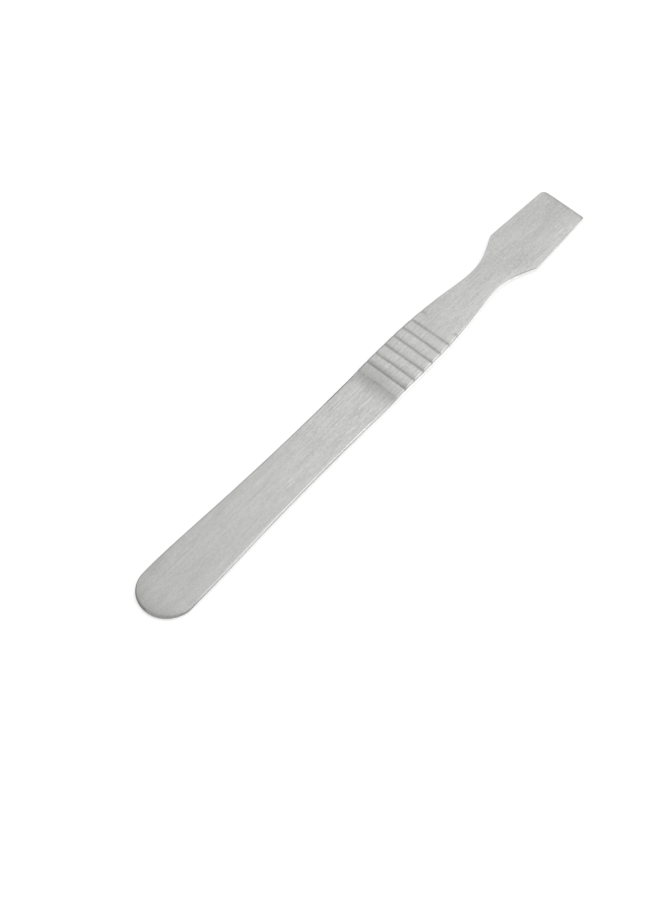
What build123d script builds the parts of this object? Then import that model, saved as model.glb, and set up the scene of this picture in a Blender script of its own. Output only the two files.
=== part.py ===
from build123d import *
from math import sqrt
import os

os.makedirs("parts", exist_ok=True)

# A flat metal spudger, pressed and ground from one strip of stainless steel.
# It lies along X on its flat underside, with the pry tip at +X.
# Origin: middle of the length and of the width, on the underside. Units: mm.

# Plan outline: places along the length
length = 122.0
tip_x = length / 2
taper_x = -36.0
waist_x = -12.0
grip_x = 11.0
grip_end_x = 22.5
throat_x = 30.0
neck_x = 36.5
flare_x = 41.0
shoulder_x = 45.6

# Plan outline: full widths at those places, and its corners
handle_width = 12.0
taper_width = 10.85
waist_width = 9.8
grip_width = 9.95
grip_end_width = 9.3
throat_width = 7.6
neck_width = 6.25
flare_width = 7.75
shoulder_width = 11.8
tip_width = 10.2
shoulder_slope = 0.45
shoulder_radius = 1.2
worn_corner_radius = 1.2
sharp_corner_radius = 0.3

# Side profile: heights above the underside, and where the faces change
handle_top = 0.95
ramp_start_x = 0.8
crest_x = 4.55
crest_top = 1.25
grip_top_x = 14.0
grip_top = 1.5
neck_top = 1.1
head_top = 0.95
tip_top = 0.65
relief_start_x = 42.0
tip_underside = 0.25
edge_radius = 0.15

# Bevel ground along the pry edge
bevel_length = 0.35
bevel_drop = 0.15

# Lines pressed across the thumb grip: a steep wall, a floor, and a long shallow scallop
line_count = 6
first_line_x = 6.98
line_pitch = 2.63
line_depth = 0.22
line_wall = 0.12
line_floor = 0.3
scallop_depth = 0.07
scallop_length = 1.3
scallop_bulge = 0.012

# Cutters run this far past the metal
clear = 1.0

# The crown of the thumb grip is one long arc, highest at grip_top_x
crown_rise = grip_top - crest_top
crown_radius = ((grip_top_x - crest_x) ** 2 + crown_rise**2) / (2 * crown_rise)


def crown_height(x):
    """Height of the thumb grip's crown above the underside."""
    return grip_top - crown_radius + sqrt(crown_radius**2 - (x - grip_top_x) ** 2)


with BuildPart() as spudger:
    # Plan outline: rounded handle end, slim waist, thumb grip, neck and spade head
    with BuildSketch() as plan:
        with BuildLine():
            end_radius = handle_width / 2
            round_end = CenterArc((end_radius - tip_x, 0), end_radius, 90, 90)
            long_side = Spline(
                round_end @ 0,
                (taper_x, taper_width / 2),
                (waist_x, waist_width / 2),
                (grip_x, grip_width / 2),
                (grip_end_x, grip_end_width / 2),
                (throat_x, throat_width / 2),
                (neck_x, neck_width / 2),
                tangents=((1, 0), (1, 0)),
            )
            flare = Spline(
                long_side @ 1,
                (flare_x, flare_width / 2),
                (shoulder_x, shoulder_width / 2),
                tangents=((1, 0), (1, shoulder_slope)),
            )
            head_side = Line(flare @ 1, (tip_x, tip_width / 2))
            Line(head_side @ 1, (tip_x, 0))
            mirror(about=Plane.XZ)
        make_face()
        shoulders = plan.vertices().filter_by_position(Axis.X, neck_x, tip_x - clear)
        fillet(shoulders, shoulder_radius)
        fillet(plan.vertices().group_by(Axis.X)[-1].sort_by(Axis.Y)[0], sharp_corner_radius)
        fillet(plan.vertices().group_by(Axis.X)[-1].sort_by(Axis.Y)[-1], worn_corner_radius)
    extrude(amount=grip_top + clear)

    # Side profile: flat handle, ramp, crowned thumb grip, neck, and a head thinned to the tip
    with BuildSketch(Plane.XZ.offset(-handle_width)):
        with BuildLine():
            underside = Line((-tip_x - clear, 0), (relief_start_x, 0))
            relief = Line(underside @ 1, (tip_x, tip_underside))
            tip_edge = Line(relief @ 1, (tip_x, tip_top))
            head_slope = (head_top - tip_top) / (tip_x - shoulder_x)
            head_top_line = Line(tip_edge @ 1, (shoulder_x, head_top))
            crown_end = (grip_end_x, crown_height(grip_end_x))
            crown_slope = (grip_end_x - grip_top_x) / crown_radius
            fall = Spline(
                head_top_line @ 1,
                (neck_x, neck_top),
                crown_end,
                tangents=((-1, head_slope), (-1, crown_slope)),
            )
            crown = ThreePointArc(fall @ 1, (grip_top_x, grip_top), (crest_x, crest_top))
            ramp = TangentArc((ramp_start_x, handle_top), crown @ 1, tangent=(1, 0))
            handle = Line(ramp @ 0, (-tip_x - clear, handle_top))
            Line(handle @ 1, underside @ 0)
        make_face()
    extrude(amount=2 * handle_width, mode=Mode.INTERSECT)

    # Soft edges all round the rim, top and bottom
    rim = spudger.edges().filter_by(Axis.Z, reverse=True).filter_by(Axis.Y, reverse=True)
    fillet(rim, edge_radius)

    # Lines across the thumb grip
    with BuildSketch(Plane.XZ.offset(-handle_width)):
        for i in range(line_count):
            line_x = first_line_x + i * line_pitch
            scallop_end_x = line_x + scallop_length
            with BuildLine():
                wall = Line(
                    (line_x - line_wall, crown_height(line_x - line_wall)),
                    (line_x, crown_height(line_x) - line_depth),
                )
                floor_end_x = line_x + line_floor
                line_bed = Line(wall @ 1, (floor_end_x, crown_height(floor_end_x) - scallop_depth))
                scallop_end = (scallop_end_x, crown_height(scallop_end_x))
                scallop = SagittaArc(line_bed @ 1, scallop_end, scallop_bulge)
                Polyline(
                    scallop @ 1,
                    (scallop_end_x, grip_top + clear),
                    (line_x - line_wall, grip_top + clear),
                    wall @ 0,
                )
            make_face()
    extrude(amount=2 * handle_width, mode=Mode.SUBTRACT)

    # Bevel along the pry edge
    with BuildSketch(Plane.XZ.offset(-handle_width)):
        with BuildLine():
            bevel_slope = bevel_drop / bevel_length
            bevel_start_x = tip_x - bevel_length
            bevel_top = tip_top + head_slope * bevel_length
            Polyline(
                (bevel_start_x, bevel_top),
                (tip_x + clear, bevel_top - bevel_slope * (bevel_length + clear)),
                (tip_x + clear, bevel_top + clear),
                (bevel_start_x, bevel_top + clear),
                close=True,
            )
        make_face()
    extrude(amount=2 * handle_width, mode=Mode.SUBTRACT)

spudger.part.label = "spudger"
export_step(spudger.part, "parts/spudger.step")
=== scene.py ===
import math
import bpy
import numpy as np
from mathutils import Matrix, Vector


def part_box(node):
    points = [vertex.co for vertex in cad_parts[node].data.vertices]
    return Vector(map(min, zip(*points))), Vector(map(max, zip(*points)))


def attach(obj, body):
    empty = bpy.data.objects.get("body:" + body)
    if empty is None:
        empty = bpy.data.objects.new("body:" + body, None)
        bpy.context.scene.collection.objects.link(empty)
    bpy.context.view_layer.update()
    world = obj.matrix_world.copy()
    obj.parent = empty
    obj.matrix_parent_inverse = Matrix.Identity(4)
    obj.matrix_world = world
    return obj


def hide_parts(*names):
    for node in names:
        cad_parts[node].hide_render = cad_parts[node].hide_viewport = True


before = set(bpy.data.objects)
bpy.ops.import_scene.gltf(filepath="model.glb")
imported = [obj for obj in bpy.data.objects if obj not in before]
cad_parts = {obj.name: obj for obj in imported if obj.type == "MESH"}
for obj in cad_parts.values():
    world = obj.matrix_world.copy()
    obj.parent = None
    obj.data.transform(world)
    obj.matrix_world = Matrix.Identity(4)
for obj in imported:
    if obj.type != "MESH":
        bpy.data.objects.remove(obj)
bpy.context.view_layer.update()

# A flat stainless-steel spudger, lying along X on its underside, pry tip at +X.
# Sizes are in millimetres, as on a drawing; MM turns them into the scene's metres.
MM = 0.001
low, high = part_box("spudger")
HEEL_X = low.x / MM
TIP_X = high.x / MM
CROWN_TOP = high.z / MM
END_RADIUS = high.y / MM
HEEL_CENTRE_X = HEEL_X + END_RADIUS
TIP_RUN_X = TIP_X - 2.0

# Plan outline: (place along the tool, half width)
LONG_SIDE = [
    (HEEL_CENTRE_X, END_RADIUS),
    (-36.0, 5.425),
    (-12.0, 4.9),
    (11.0, 4.975),
    (22.5, 4.65),
    (30.0, 3.8),
    (36.5, 3.125),
]
SHOULDER_X, SHOULDER_HALF_WIDTH = 45.6, 5.9
FLARE = [LONG_SIDE[-1], (41.0, 3.875), (SHOULDER_X, SHOULDER_HALF_WIDTH)]
FLARE_SLOPE = 0.45
SHOULDER_BLEND = 0.15
TIP_HALF_WIDTH = 5.1
WORN_CORNER_RADIUS = 1.2
SHARP_CORNER_RADIUS = 0.3
HEAD_TAPER = (SHOULDER_HALF_WIDTH - TIP_HALF_WIDTH) / (TIP_X - SHOULDER_X)

# Side profile
HANDLE_TOP = 0.95
RAMP_START_X = 0.8
CREST_X, CREST_TOP = 4.65, 1.25
CREST_BLEND = 0.08
CROWN_X = 14.0
CROWN_POWER = 4
CROWN_END_X, CROWN_END_TOP = 22.5, 1.30
NECK_X, NECK_TOP = 36.5, 1.1
HEAD_TOP = 0.95
TIP_TOP = 0.65
RELIEF_START_X = 42.0
TIP_UNDERSIDE = 0.25
BEVEL_LENGTH = 0.35
BEVEL_DROP = 0.05
CROSS_CROWN = 0.07
HEEL_FALL = 0.19
HEEL_FALL_REACH = 1.2
HEEL_FALL_FADE = 0.5

# Rounding of the rim: (place along the tool, radius). The flat faces start FLAT_MARGIN radii in.
FLAT_MARGIN = 1.3
TOP_RIM = [
    (HEEL_X, 0.42),
    (-50.0, 0.36),
    (0.0, 0.38),
    (8.0, 0.44),
    (20.0, 0.40),
    (31.0, 0.14),
    (TIP_RUN_X, 0.09),
    (TIP_X, 0.05),
]
LOWER_RIM = [
    (HEEL_X, 0.26),
    (-48.0, 0.40),
    (-30.0, 0.32),
    (-5.0, 0.18),
    (12.0, 0.20),
    (22.0, 0.34),
    (30.0, 0.20),
    (37.0, 0.40),
    (44.0, 0.40),
    (50.0, 0.14),
    (TIP_RUN_X, 0.08),
    (TIP_X, 0.05),
]

# Lines pressed across the thumb grip: how hard each was pressed, the first one most.
# Profile: (distance past the line, depth, slope)
LINE_PRESS = [1.02, 0.80, 0.85, 0.88, 0.88, 0.78]
FIRST_LINE_X = 6.98
LINE_PITCH = 2.63
LINE_DEPTH = 0.155
LINE_PROFILE = [
    (-0.50, 0.0, 0.0),
    (-0.14, 0.015, 0.10),
    (0.0, LINE_DEPTH, 0.0),
    (0.40, 0.068, -0.12),
    (1.50, 0.0, 0.0),
]

# Unevenness of the press, as waves across the tool: (size, radians per mm, shift from line to line)
LINE_WANDER = [(0.03, 0.45, 1.9), (0.015, 1.7, 0.7)]
LINE_UNEVENNESS = (0.08, 0.8, 2.3)

# A last, weaker press past the lines marks only the two rims: from RIM_MARK_EDGE of the half width
RIM_MARK_X, RIM_MARK_PRESS = 22.9, 0.7
RIM_MARK_EDGE, RIM_MARK_FADE = 0.68, 0.14

# Painted shade and painted highlight round the rim: (place along the tool, share). The +Y rim is
# painted dark, most of all at the ramp, and the -Y rim carries a painted highlight along the handle.
# The -Y side wall's top half is painted a little dark along the handle and bright along the grip.
# Its foot carries painted shade along the handle only.
DARK_RIM = [
    (-54.0, 0.8),
    (-6.0, 0.9),
    (-3.5, 2.4),
    (1.0, 2.4),
    (4.0, 1.1),
    (20.0, 0.9),
    (25.0, 0.0),
]
BRIGHT_RIM = [(-54.0, 0.4), (-40.0, 0.6), (-6.0, 0.5), (0.0, 0.0)]
BRIGHT_WALL = [(-54.0, -0.2), (-10.0, -0.3), (0.0, 0.2), (6.0, 0.6), (25.0, 0.8), (32.0, 0.0)]
DARK_FOOT = [(-54.0, 0.4), (3.0, 0.7), (7.0, 0.0), (24.0, -0.2), (32.0, 0.0)]
WALL_MIDDLE = 0.4

# Shade on the top face. A fade is (where it starts, how far it takes), along X or towards -Y.
RAMP_SKEW, RAMP_SKEW_FADE = 1.4, (0.8, 2.4)
RAMP_SHADE, RAMP_FADE_LENGTH = 0.25, 2.2
BAND_SHADE, BAND_FADE = 0.6, (0.5, 3.0)
CREST_SHADE, CREST_LINE_WIDTH = 0.7, 0.16
TIP_SHADE, TIP_SHADE_LENGTH = 0.9, 1.2
TIP_CORNER_SHADE, TIP_CORNER_FADE = 2.2, (2.8, 2.4)
SIDE_LIGHT, SIDE_LIGHT_FADE = 0.7, (28.0, 6.0)

# Areas with slanting scratches: (first X, fade, last X, fade, how far towards -Y they start, fade)
RUBBED_AREAS = [
    (-12.0, 6.0, 4.0, 3.0, -7.0, 1.0),
    (-29.0, 3.0, -16.0, 3.0, 0.4, 1.2),
    (47.0, 4.0, 60.0, 2.0, 0.6, 1.5),
]

# Mesh density. Rows along the tool are (first, last, how many), or (first, end, step) on the ramp.
COLUMNS = 24
HEEL_STEPS = 32
CORNER_STEPS = 12
RIM_STEPS = 8
HANDLE_ROWS = (HEEL_CENTRE_X, 0.5, 110)
RAMP_ROWS = (0.7, FIRST_LINE_X - 0.55, 0.06)
LINE_ROWS = [(-0.5, -0.2, 5), (-0.18, 0.40, 30), (0.46, LINE_PITCH - 0.56, 13)]
RIM_MARK_ROWS = (-0.5, 1.5, 30)
NECK_AND_HEAD_ROWS = [(RIM_MARK_X + 1.8, 44.0, 58), (44.2, 47.4, 28), (47.8, TIP_RUN_X, 24)]
TIP_ROWS = 9


# ---------------------------------------------------------------- curves

def hermite(points, x):
    """Piecewise cubic through (x, y, slope) points, flat past both ends."""
    px, py, slope = np.array(points, float).T
    x = np.clip(x, px[0], px[-1])
    i = np.clip(np.searchsorted(px, x) - 1, 0, len(px) - 2)
    gap = px[i + 1] - px[i]
    t = (x - px[i]) / gap
    rise = (3.0 - 2.0 * t) * t * t
    start = t * (1.0 - t) ** 2 * gap * slope[i]
    end = t * t * (t - 1.0) * gap * slope[i + 1]
    return py[i] * (1.0 - rise) + py[i + 1] * rise + start + end


def spline_points(points, start_slope, end_slope):
    """The slopes that make one smooth cubic curve of these points, as (x, y, slope)."""
    x, y = np.array(points, float).T
    gap = np.diff(x)
    steep = np.diff(y) / gap
    matrix = np.eye(len(x))
    values = np.array([start_slope] + [0.0] * (len(x) - 2) + [end_slope])
    for i in range(1, len(x) - 1):
        matrix[i, i - 1 : i + 2] = gap[i], 2.0 * (gap[i - 1] + gap[i]), gap[i - 1]
        values[i] = 3.0 * (gap[i] * steep[i - 1] + gap[i - 1] * steep[i])
    return np.column_stack((x, y, np.linalg.solve(matrix, values)))


def along_tool(table, x):
    """The value that a table of (place along the tool, value) gives at x."""
    return np.interp(x, *np.array(table).T)


def fade(value, start, length):
    """0 up to start, then a smooth rise to 1 over this length."""
    t = np.clip((value - start) / length, 0.0, 1.0)
    return t * t * (3.0 - 2.0 * t)


def soft_minimum(a, b, blend):
    """The smaller of a and b, rounded where they cross."""
    near = np.maximum(blend - np.abs(a - b), 0.0) / blend
    return np.minimum(a, b) - near * near * blend / 4.0


# ---------------------------------------------------------------- outline and heights

long_side = spline_points(LONG_SIDE, 0.0, 0.0)
flare_side = spline_points(FLARE, 0.0, FLARE_SLOPE)
crown_rise = CROWN_TOP - CREST_TOP
ramp_rise = CREST_TOP - HANDLE_TOP
ramp_run = CREST_X - RAMP_START_X
ramp_radius = (ramp_run**2 + ramp_rise**2) / (2.0 * ramp_rise)
head_slope = (HEAD_TOP - TIP_TOP) / (TIP_X - SHOULDER_X)
neck_profile = spline_points(
    [(CROWN_X, CROWN_TOP), (CROWN_END_X, CROWN_END_TOP), (NECK_X, NECK_TOP), (SHOULDER_X, HEAD_TOP)],
    0.0,
    -head_slope,
)


def half_width(x):
    """Half the tool's width at x, from the end of the round heel to the tip."""
    past_shoulder = np.maximum(x - SHOULDER_X, 0.0) * FLARE_SLOPE
    flare = hermite(flare_side, x) + past_shoulder
    side = np.where(x < NECK_X, hermite(long_side, x), flare)
    head = TIP_HALF_WIDTH + (TIP_X - x) * HEAD_TAPER
    return soft_minimum(side, head, SHOULDER_BLEND)


def across(x, y):
    """Distance from the middle line, as a share of the half width."""
    return np.abs(y) / half_width(np.maximum(x, HEEL_CENTRE_X))


def profile_height(x):
    """Height of the top face along the middle, without the grip's lines."""
    on_ramp = np.clip(x - RAMP_START_X, 0.0, ramp_run + CREST_BLEND)
    ramp = HANDLE_TOP + ramp_radius - np.sqrt(ramp_radius**2 - on_ramp**2)
    crown = CROWN_TOP - crown_rise * ((CROWN_X - x) / (CROWN_X - CREST_X)) ** CROWN_POWER
    past_crest = fade(x, CREST_X - CREST_BLEND, 2.0 * CREST_BLEND)
    grip = ramp * (1.0 - past_crest) + crown * past_crest
    head = TIP_TOP + (TIP_X - x) * head_slope
    bevel = np.maximum(x - (TIP_X - BEVEL_LENGTH), 0.0) * BEVEL_DROP / BEVEL_LENGTH
    beyond = np.where(x < SHOULDER_X, hermite(neck_profile, x), head - bevel)
    return np.where(x < CROWN_X, grip, beyond)


def wave(kind, y, line):
    """A wave across the tool, shifted a little from one line to the next."""
    size, rate, shift = kind
    return size * np.sin(rate * y + shift * line)


def line_depth(x, y):
    """Depth of the pressed lines at a point, with the small unevenness of a press."""
    rim_mark = hermite(LINE_PROFILE, x - RIM_MARK_X) * RIM_MARK_PRESS
    depth = rim_mark * fade(across(x, y), RIM_MARK_EDGE, RIM_MARK_FADE)
    for line, press in enumerate(LINE_PRESS):
        line_x = FIRST_LINE_X + line * LINE_PITCH + sum(wave(kind, y, line) for kind in LINE_WANDER)
        depth += hermite(LINE_PROFILE, x - line_x) * press * (1.0 + wave(LINE_UNEVENNESS, y, line))
    return depth


def face_shade(x, y):
    """How dark the top face is: the ramp, the band behind its crest, and the tip.

    Below zero it is lighter, as by the two sides of the head.
    """
    start = RAMP_START_X + RAMP_SKEW * fade(-y, *RAMP_SKEW_FADE)
    # painted shade on the ramp and on the band behind its crest
    ramp_darkening = fade(x, start, RAMP_FADE_LENGTH) * (x < FIRST_LINE_X)
    band = (x > CREST_X) * fade(-y, *BAND_FADE)
    ramp_darkening *= (1.0 - band) * np.where(x < CREST_X, RAMP_SHADE, BAND_SHADE)
    crest = np.exp(-(((x - CREST_X) / CREST_LINE_WIDTH) ** 2))
    tip = fade(x, TIP_X - TIP_SHADE_LENGTH, TIP_SHADE_LENGTH) * (y < TIP_HALF_WIDTH)
    tip *= TIP_SHADE + TIP_CORNER_SHADE * fade(-y, *TIP_CORNER_FADE)
    sides = across(x, y) ** 2 * fade(x, *SIDE_LIGHT_FADE)
    return ramp_darkening + crest * CREST_SHADE + tip - sides * SIDE_LIGHT


def rubbed(x, y):
    """Where the steel carries slanting scratches: on the handle, and by the head's -Y side."""
    total = 0.0
    for first, fade_in, last, fade_out, side, fade_across in RUBBED_AREAS:
        total += fade(x, first, fade_in) * fade(-x, -last, fade_out) * fade(-y, side, fade_across)
    return total


def rim_painted_shading(points, wear):
    """How much painted shade (or, below zero, painted highlight) the rim and the side wall carry, by
    the place round the rounding.
    """
    x, y, z = points.T
    above = z > WALL_MIDDLE
    # The shoulder peaks halfway round the rim's rounding
    shoulder = 2.0 * wear * np.sqrt(1.0 - wear**2) * above
    wall = np.where(above, -along_tool(BRIGHT_WALL, x), along_tool(DARK_FOOT, x)) * wear**2
    near = wall - shoulder * along_tool(BRIGHT_RIM, x)
    return np.where(y > 0.0, shoulder * along_tool(DARK_RIM, x), near)


def heel_fall(x, y):
    """Fall of the top face towards the round heel, where it was blended by hand.

    It fades inwards from the rim, and along the two sides past the heel's centre.
    """
    past_centre = x - HEEL_CENTRE_X
    from_centre = np.hypot(np.minimum(past_centre, 0.0), y)
    inset = END_RADIUS - from_centre + HEEL_FALL_FADE * np.maximum(past_centre, 0.0)
    return HEEL_FALL * np.exp(-inset / HEEL_FALL_REACH)


def top_height(x, y):
    """Height of the top face, which also falls a little towards the two sides."""
    fall = heel_fall(x, y) + CROSS_CROWN * across(x, y) ** 3
    return profile_height(x) - line_depth(x, y) - fall


def underside_height(x):
    """Height of the underside, which is flat up to the head."""
    relief = (x - RELIEF_START_X) / (TIP_X - RELIEF_START_X)
    return TIP_UNDERSIDE * np.maximum(relief, 0.0)


def face_height(places, is_top):
    """Height of the top face, or of the underside, at these (x, y) places."""
    x, y = places.T
    return top_height(x, y) if is_top else underside_height(x)


# ---------------------------------------------------------------- mesh

def body_stations():
    """Places along the tool for the mesh's rows, closer together where the shape changes."""
    rows = [np.linspace(*HANDLE_ROWS), np.arange(*RAMP_ROWS)]
    for line in range(len(LINE_PRESS)):
        line_x = FIRST_LINE_X + line * LINE_PITCH
        rows += [line_x + np.linspace(*span) for span in LINE_ROWS]
    rows.append(RIM_MARK_X + np.linspace(*RIM_MARK_ROWS))
    rows += [np.linspace(*span) for span in NECK_AND_HEAD_ROWS]
    return np.concatenate(rows)


def side_outline(sign, corner_radius):
    """Points of one side, from the heel to the end of the tip's corner."""
    turn = np.linspace(0.0, math.pi / 2.0, HEEL_STEPS + 1)[:-1]
    heel_x = HEEL_CENTRE_X - END_RADIUS * np.cos(turn)
    heel_y = END_RADIUS * np.sin(turn)
    corner_x = TIP_X - corner_radius
    corner_y = TIP_HALF_WIDTH + corner_radius * (HEAD_TAPER - math.hypot(1.0, HEAD_TAPER))
    arc = np.linspace(math.pi / 2.0 - math.atan(HEAD_TAPER), 0.0, CORNER_STEPS + 1)
    arc_x = corner_x + corner_radius * np.cos(arc)
    arc_y = corner_y + corner_radius * np.sin(arc)
    run_x = np.concatenate((body_stations(), np.linspace(TIP_RUN_X, arc_x[0], TIP_ROWS)[1:-1]))
    x = np.concatenate((heel_x, run_x, arc_x))
    y = np.concatenate((heel_y, half_width(run_x), arc_y))
    return np.column_stack((x, sign * y))


def outline():
    """The closed outline, clockwise from the heel, its outward normals, and the number of rows."""
    left = side_outline(1.0, WORN_CORNER_RADIUS)
    right = side_outline(-1.0, SHARP_CORNER_RADIUS)
    share = np.linspace(0.0, 1.0, COLUMNS + 1)[1:-1, None]
    tip_edge = left[-1] * (1.0 - share) + right[-1] * share
    points = np.vstack((left, tip_edge, right[:0:-1]))
    along = np.roll(points, -1, axis=0) - np.roll(points, 1, axis=0)
    along /= np.linalg.norm(along, axis=1)[:, None]
    normals = np.column_stack((-along[:, 1], along[:, 0]))
    return points, normals, len(left) - 1


def rim_rings(points, normals):
    """Rings of vertices from the top face, round the rim and down to the underside.

    Half of them are the top's. Each has its wear, from 0 on the flat face to 1 on the side wall.
    """
    rings, wear = [], []
    turn = np.linspace(math.pi / 2.0, 0.0, RIM_STEPS + 1)
    flat = [(FLAT_MARGIN, 0.0, 0.0)]
    rounding = [(1.0 - math.cos(angle), 1.0 - math.sin(angle), math.cos(angle)) for angle in turn]
    for is_top, table, steps in (
        (True, TOP_RIM, flat + rounding),
        (False, LOWER_RIM, rounding[::-1] + flat),
    ):
        radius = along_tool(table, points[:, 0])
        for inset, drop, worn in steps:
            places = points - normals * (radius * inset)[:, None]
            height = face_height(places, is_top) + radius * (-drop if is_top else drop)
            rings.append(np.column_stack((places, height)))
            wear.append(worn)
    return rings, wear


def rim_quads(points, rings):
    """The rim's quads, and their grain coordinates: down the rim, and round the outline."""
    count = len(points)
    around = np.arange(count)
    after = (around + 1) % count
    run = np.cumsum(np.linalg.norm(np.roll(points, -1, axis=0) - points, axis=1))
    run = np.concatenate(([0.0], run))
    v = np.column_stack((run[:-1], run[1:], run[1:], run[:-1]))
    quads, uvs, down = [], [], 0.0
    for k, (ring, next_ring) in enumerate(zip(rings, rings[1:])):
        next_down = down + np.linalg.norm(next_ring - ring, axis=1).mean()
        a, b = k * count, (k + 1) * count
        quads.append(np.column_stack((a + around, a + after, b + after, b + around)))
        u = np.tile((down, down, next_down, next_down), (count, 1))
        uvs.append(np.stack((u, v), axis=2))
        down = next_down
    return np.vstack(quads), np.vstack(uvs)


def face_grid(rings, is_top, rows, first):
    """One face's vertex numbers by row and column, and its inside vertices, numbered from first."""
    ring_number = 0 if is_top else len(rings) - 1
    ring = rings[ring_number]
    count = len(ring)
    row = np.arange(rows + 1)
    numbers = np.zeros((rows + 1, COLUMNS + 1), int)
    numbers[:, 0] = row
    numbers[:, COLUMNS] = (count - row) % count
    numbers[rows, :] = rows + np.arange(COLUMNS + 1)
    numbers += ring_number * count
    share = np.arange(1, COLUMNS)[None, :, None] / COLUMNS
    left = ring[row[1:rows], None, :2]
    right = ring[count - row[1:rows], None, :2]
    inside = (left * (1.0 - share) + right * share).reshape(-1, 2)
    numbers[1:rows, 1:COLUMNS] = first + np.arange(len(inside)).reshape(rows - 1, COLUMNS - 1)
    return numbers, np.column_stack((inside, face_height(inside, is_top)))


def face_quads(numbers, is_top):
    """Quads between neighbouring rows and columns, facing out of the tool."""
    a, b = numbers[:-1, :-1], numbers[:-1, 1:]
    c, d = numbers[1:, 1:], numbers[1:, :-1]
    order = (a, b, c, d) if is_top else (a, d, c, b)
    return np.stack(order, axis=2).reshape(-1, 4)


def vertex_masks(vertices, wear, on_top):
    """Where the material changes, one value for each vertex."""
    x, y = vertices[:, :2].T
    return {
        "edge_wear": wear,
        # painted shade on the +Y rim and the wall's foot, painted highlight on the -Y rim and the
        # grip's wall
        "painted_rim_shading": rim_painted_shading(vertices, wear),
        "pressed_line": line_depth(x, y) / LINE_DEPTH * on_top,
        "face_shade": face_shade(x, y) * on_top,
        "rubbed": rubbed(x, y),
    }


def make_piece(name, vertices, quads, uvs, masks):
    """A smooth mesh object. Where a quad's corners meet in one vertex, the face is a triangle."""
    faces, loops = [], []
    for quad, uv in zip(quads.tolist(), uvs.tolist()):
        kept = [n for n in range(4) if quad[n] != quad[n - 1]]
        faces.append([quad[n] for n in kept])
        loops.extend(uv[n] for n in kept)
    mesh = bpy.data.meshes.new(name)
    mesh.from_pydata((vertices * MM).tolist(), [], faces)
    mesh.polygons.foreach_set("use_smooth", np.ones(len(faces), bool))
    grain = mesh.uv_layers.new(name="grain")
    grain.data.foreach_set("uv", np.array(loops, np.float32).ravel())
    for mask_name, values in masks.items():
        attribute = mesh.attributes.new(mask_name, "FLOAT", "POINT")
        attribute.data.foreach_set("value", values.astype(np.float32))
    mesh.update()
    piece = bpy.data.objects.new(name, mesh)
    bpy.context.scene.collection.objects.link(piece)
    return piece


def make_spudger():
    """The whole tool, as one closed mesh. The grain runs along it on both faces."""
    points, normals, rows = outline()
    rings, wear = rim_rings(points, normals)
    rim, rim_uvs = rim_quads(points, rings)
    parts, quads = list(rings), [rim]
    for is_top in (True, False):
        first = sum(len(part) for part in parts)
        numbers, inside = face_grid(rings, is_top, rows, first)
        parts.append(inside)
        quads.append(face_quads(numbers, is_top))

    half = len(rings) // 2
    sizes = [len(part) for part in parts]
    on_top = np.repeat([True] * half + [False] * half + [True, False], sizes)
    wear = np.repeat(wear + [0.0, 0.0], sizes)
    vertices = np.vstack(parts)
    face_uvs = vertices[np.vstack(quads[1:])][:, :, 1::-1]
    uvs = np.vstack((rim_uvs, face_uvs))
    masks = vertex_masks(vertices, wear, on_top)
    return make_piece("steel_spudger", vertices, np.vstack(quads), uvs, masks)


# ---------------------------------------------------------------- materials

# Marks in the brushed steel, drawn out along the tool: (length, width, detail, slant in degrees)
MARKS = {
    "grit": (0.42, 0.27, 1.5, 0.0),
    "fine": (5.0, 0.36, 3.0, 0.0),
    "broad": (14.0, 1.0, 2.0, 0.0),
    "cloud": (9.0, 5.0, 2.0, 0.0),
    "hair": (14.0, 0.12, 1.0, 1.5),
    "scratch": (4.2, 0.30, 1.0, 14.0),
}
MARK_ROUGHNESS = 0.6

# Hairs and scratches are only the peaks of their noise: (where they start, where they are full)
HAIR_PEAKS = (0.17, 0.23)
SCRATCH_PEAKS = (0.07, 0.17)

# The handle end is polished finer: the grain grows from 1 to COARSE_GRAIN between these places.
FINE_END_X, COARSE_START_X, COARSE_GRAIN = -22.0, -12.0, 1.45

# How much each mark and mask adds to the steel's grain, tone, roughness and relief
GRAIN = {"grit": 0.20, "fine": 0.15}
TONE = {
    "broad": 0.09,
    "cloud": 0.10,
    "hair": 0.05,
    "scratch": 0.09,
    "edge_wear": 0.03,
    "pressed_line": -0.03,
    "face_shade": -0.06,
    # the rim's painted shade and painted highlight
    "painted_rim_shading": -0.20,
}
ROUGHNESS = {
    "fine": -0.18,
    "cloud": 0.12,
    "edge_wear": -0.06,
    "pressed_line": 0.05,
    "scratch": 0.04,
}
RELIEF = {"fine": 1.0, "broad": 1.5, "grit": 0.5, "hair": -0.25}
STEEL_TONE, STEEL_BLUE, STEEL_ROUGHNESS = 0.56, 0.985, 0.33
RELIEF_STRENGTH, RELIEF_HEIGHT = 0.35, 0.012
ANISOTROPY = 0.45


def maths(tree, operation, a, b):
    node = tree.nodes.new("ShaderNodeMath")
    node.operation = operation
    for socket, value in zip(node.inputs, (a, b)):
        if isinstance(value, bpy.types.NodeSocket):
            tree.links.new(value, socket)
        else:
            socket.default_value = value
    return node.outputs[0]


def add_up(tree, start, sources, amounts):
    """start, plus each named source times its amount."""
    total = start
    for name, amount in amounts.items():
        total = maths(tree, "ADD", total, maths(tree, "MULTIPLY", sources[name], amount))
    return total


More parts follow.
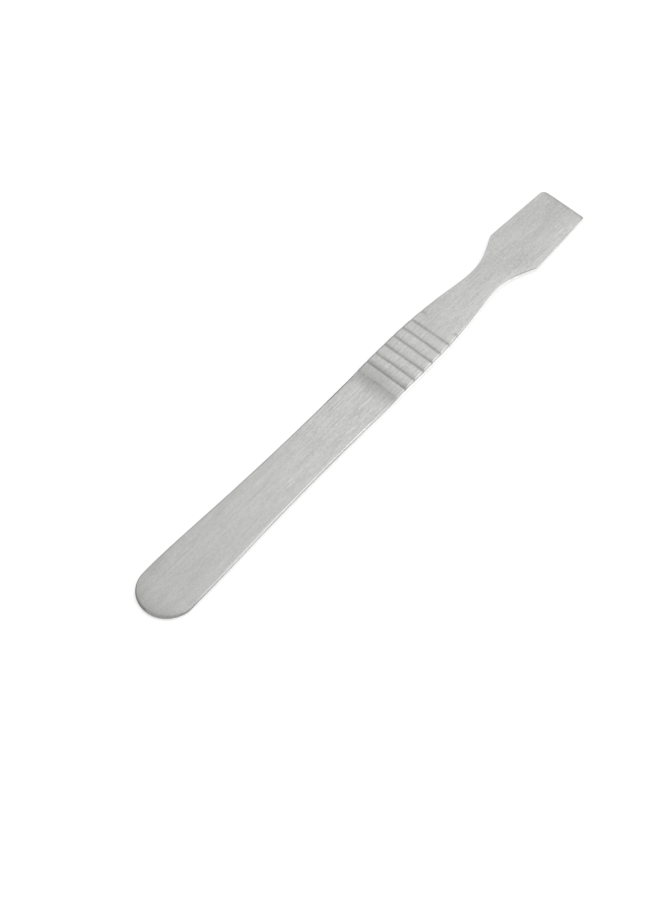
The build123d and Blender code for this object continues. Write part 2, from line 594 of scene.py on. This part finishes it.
def streaks(tree, place, length, width, detail, slant):
    """Noise drawn out along the tool: marks about this long and wide, in mm, centred on zero."""
    mapping = tree.nodes.new("ShaderNodeMapping")
    mapping.inputs["Rotation"].default_value = (0.0, 0.0, math.radians(slant))
    mapping.inputs["Scale"].default_value = [1.0 / (size * MM) for size in (length, width, width)]
    noise = tree.nodes.new("ShaderNodeTexNoise")
    noise.inputs["Scale"].default_value = 1.0
    noise.inputs["Detail"].default_value = detail
    noise.inputs["Roughness"].default_value = MARK_ROUGHNESS
    tree.links.new(place, mapping.inputs["Vector"])
    tree.links.new(mapping.outputs[0], noise.inputs["Vector"])
    return maths(tree, "SUBTRACT", noise.outputs["Fac"], 0.5)


def clip_range(tree, value, low_in, high_in, low_out=0.0, high_out=1.0):
    """A smooth step from low_out to high_out, as the value goes from low_in to high_in."""
    node = tree.nodes.new("ShaderNodeMapRange")
    node.interpolation_type = "SMOOTHSTEP"
    tree.links.new(value, node.inputs["Value"])
    node.inputs["From Min"].default_value = low_in
    node.inputs["From Max"].default_value = high_in
    node.inputs["To Min"].default_value = low_out
    node.inputs["To Max"].default_value = high_out
    return node.outputs[0]


def mask(tree, name):
    node = tree.nodes.new("ShaderNodeAttribute")
    node.attribute_name = name
    return node.outputs["Fac"]


def place_along(tree, place):
    """How far along the tool a point is."""
    node = tree.nodes.new("ShaderNodeSeparateXYZ")
    tree.links.new(place, node.inputs[0])
    return node.outputs["X"]


def steel_sources(tree, place):
    """The marks and masks that the steel is mixed from, by name."""
    sources = {name: streaks(tree, place, *size) for name, size in MARKS.items()}
    for name in ("edge_wear", "pressed_line", "face_shade", "painted_rim_shading"):
        sources[name] = mask(tree, name)
    sources["hair"] = clip_range(tree, sources["hair"], *HAIR_PEAKS)
    scratch = clip_range(tree, sources["scratch"], *SCRATCH_PEAKS)
    sources["scratch"] = maths(tree, "MULTIPLY", scratch, mask(tree, "rubbed"))
    return sources


def steel_colour(tree, place, sources):
    """A warm grey, streaked by the brushing."""
    along = place_along(tree, place)
    coarse = clip_range(tree, along, FINE_END_X * MM, COARSE_START_X * MM, 1.0, COARSE_GRAIN)
    grain = maths(tree, "MULTIPLY", add_up(tree, 0.0, sources, GRAIN), coarse)
    level = maths(tree, "ADD", add_up(tree, grain, sources, TONE), STEEL_TONE)
    colour = tree.nodes.new("ShaderNodeCombineColor")
    tree.links.new(level, colour.inputs["Red"])
    tree.links.new(level, colour.inputs["Green"])
    tree.links.new(maths(tree, "MULTIPLY", level, STEEL_BLUE), colour.inputs["Blue"])
    return colour.outputs[0]


def steel_relief(tree, sources):
    bump = tree.nodes.new("ShaderNodeBump")
    bump.inputs["Strength"].default_value = RELIEF_STRENGTH
    bump.inputs["Distance"].default_value = RELIEF_HEIGHT * MM
    tree.links.new(add_up(tree, 0.0, sources, RELIEF), bump.inputs["Height"])
    return bump.outputs[0]


def grain_direction(tree):
    tangent = tree.nodes.new("ShaderNodeTangent")
    tangent.direction_type = "UV_MAP"
    tangent.uv_map = "grain"
    return tangent.outputs[0]


def brushed_steel():
    material = bpy.data.materials.new("brushed_steel")
    material.use_nodes = True
    tree = material.node_tree
    shader = tree.nodes["Principled BSDF"]
    place = tree.nodes.new("ShaderNodeTexCoord").outputs["Object"]
    sources = steel_sources(tree, place)
    rough = add_up(tree, STEEL_ROUGHNESS, sources, ROUGHNESS)
    tree.links.new(steel_colour(tree, place, sources), shader.inputs["Base Color"])
    tree.links.new(rough, shader.inputs["Roughness"])
    tree.links.new(steel_relief(tree, sources), shader.inputs["Normal"])
    tree.links.new(grain_direction(tree), shader.inputs["Tangent"])
    shader.inputs["Metallic"].default_value = 1.0
    shader.inputs["Anisotropic"].default_value = ANISOTROPY
    return material


FLOOR_COLOUR = (0.9, 0.9, 0.9, 1.0)
FLOOR_ROUGHNESS = 0.9
FLOOR_GLOW = 0.45


def pale_floor():
    material = bpy.data.materials.new("pale_floor")
    material.use_nodes = True
    shader = material.node_tree.nodes["Principled BSDF"]
    shader.inputs["Base Color"].default_value = FLOOR_COLOUR
    shader.inputs["Roughness"].default_value = FLOOR_ROUGHNESS
    shader.inputs["Specular IOR Level"].default_value = 0.0
    shader.inputs["Emission Color"].default_value = (1.0, 1.0, 1.0, 1.0)
    shader.inputs["Emission Strength"].default_value = FLOOR_GLOW
    return material


# ---------------------------------------------------------------- stage, light and camera

FLOOR_HALF_SIZE = 4000.0


def make_floor():
    half = FLOOR_HALF_SIZE * MM
    mesh = bpy.data.meshes.new("floor")
    corners = [(-half, -half, 0.0), (half, -half, 0.0), (half, half, 0.0), (-half, half, 0.0)]
    mesh.from_pydata(corners, [], [(0, 1, 2, 3)])
    mesh.materials.append(pale_floor())
    floor = bpy.data.objects.new("floor", mesh)
    bpy.context.scene.collection.objects.link(floor)
    # The steel mirrors the lit paper of the surroundings instead
    floor.visible_glossy = False


# The studio's soft surroundings: (azimuth from +X towards +Y, elevation, strength, tightness).
# The two below the horizon are the lit paper that the tool's edges mirror.
SURROUNDINGS = 0.48
SOFT_LOBES = [
    (-14.0, 52.0, 1.46, 14.0),
    (72.0, 36.0, 0.42, 11.0),
    (-62.0, -72.0, 1.50, 8.0),
    (28.0, -38.0, 1.32, 5.0),
]

# Round softboxes: (azimuth, elevation, radiance)
SOFTBOXES = [(41.0, 57.0, 0.43), (-60.0, 35.0, 1.20), (-60.0, 20.0, 1.35)]
SOFTBOX_DISTANCE = 450.0
SOFTBOX_DIAMETER = 160.0


def towards(azimuth, elevation):
    """Unit vector in this direction, with azimuth from +X towards +Y."""
    azimuth, elevation = math.radians(azimuth), math.radians(elevation)
    level = math.cos(elevation)
    return Vector((math.cos(azimuth) * level, math.sin(azimuth) * level, math.sin(elevation)))


def make_surroundings():
    world = bpy.data.worlds.new("studio")
    bpy.context.scene.world = world
    world.use_nodes = True
    tree = world.node_tree
    direction = tree.nodes.new("ShaderNodeTexCoord").outputs["Generated"]
    total = SURROUNDINGS
    for azimuth, elevation, strength, tightness in SOFT_LOBES:
        dot = tree.nodes.new("ShaderNodeVectorMath")
        dot.operation = "DOT_PRODUCT"
        dot.inputs[1].default_value = towards(azimuth, elevation)
        tree.links.new(direction, dot.inputs[0])
        facing = maths(tree, "MAXIMUM", dot.outputs["Value"], 0.0)
        lobe = maths(tree, "MULTIPLY", maths(tree, "POWER", facing, tightness), strength)
        total = maths(tree, "ADD", lobe, total)
    sky = tree.nodes["Background"]
    sky.inputs["Color"].default_value = (1.0, 1.0, 1.0, 1.0)
    tree.links.new(total, sky.inputs["Strength"])


def make_softboxes():
    for number, (azimuth, elevation, radiance) in enumerate(SOFTBOXES):
        light = bpy.data.lights.new(f"softbox_{number}", "AREA")
        light.shape = "DISK"
        light.size = SOFTBOX_DIAMETER * MM
        area = math.pi * (light.size / 2.0) ** 2
        light.energy = radiance * math.pi * area
        softbox = bpy.data.objects.new(light.name, light)
        out = towards(azimuth, elevation)
        softbox.location = out * SOFTBOX_DISTANCE * MM
        softbox.rotation_mode = "QUATERNION"
        softbox.rotation_quaternion = out.to_track_quat("Z", "Y")
        softbox.visible_camera = False
        bpy.context.scene.collection.objects.link(softbox)


# The camera's azimuth is 0 when it looks along +Y, with +X to the right.
CAMERA_AZIMUTH = -49.234
CAMERA_ELEVATION = 57.499
CAMERA_DISTANCE = 740.0
CAMERA_TARGET = (-12.024, -2.459, 0.0)
CAMERA_LENS = 157.03
SENSOR_WIDTH = 36.0


def make_camera():
    data = bpy.data.cameras.new("camera")
    data.lens = CAMERA_LENS
    data.sensor_width = SENSOR_WIDTH
    data.clip_start = 0.01
    data.clip_end = 20.0
    camera = bpy.data.objects.new("camera", data)
    azimuth, elevation = math.radians(CAMERA_AZIMUTH), math.radians(CAMERA_ELEVATION)
    level = math.cos(elevation)
    back = Vector((math.sin(azimuth) * level, -math.cos(azimuth) * level, math.sin(elevation)))
    camera.location = (Vector(CAMERA_TARGET) + back * CAMERA_DISTANCE) * MM
    camera.rotation_mode = "QUATERNION"
    camera.rotation_quaternion = (-back).to_track_quat("-Z", "Y")
    bpy.context.scene.collection.objects.link(camera)
    bpy.context.scene.camera = camera


make_camera()
make_floor()
make_surroundings()
make_softboxes()
bpy.context.scene.view_settings.view_transform = "Standard"

spudger = make_spudger()
spudger.data.materials.append(brushed_steel())
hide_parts("spudger")
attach(spudger, "root")
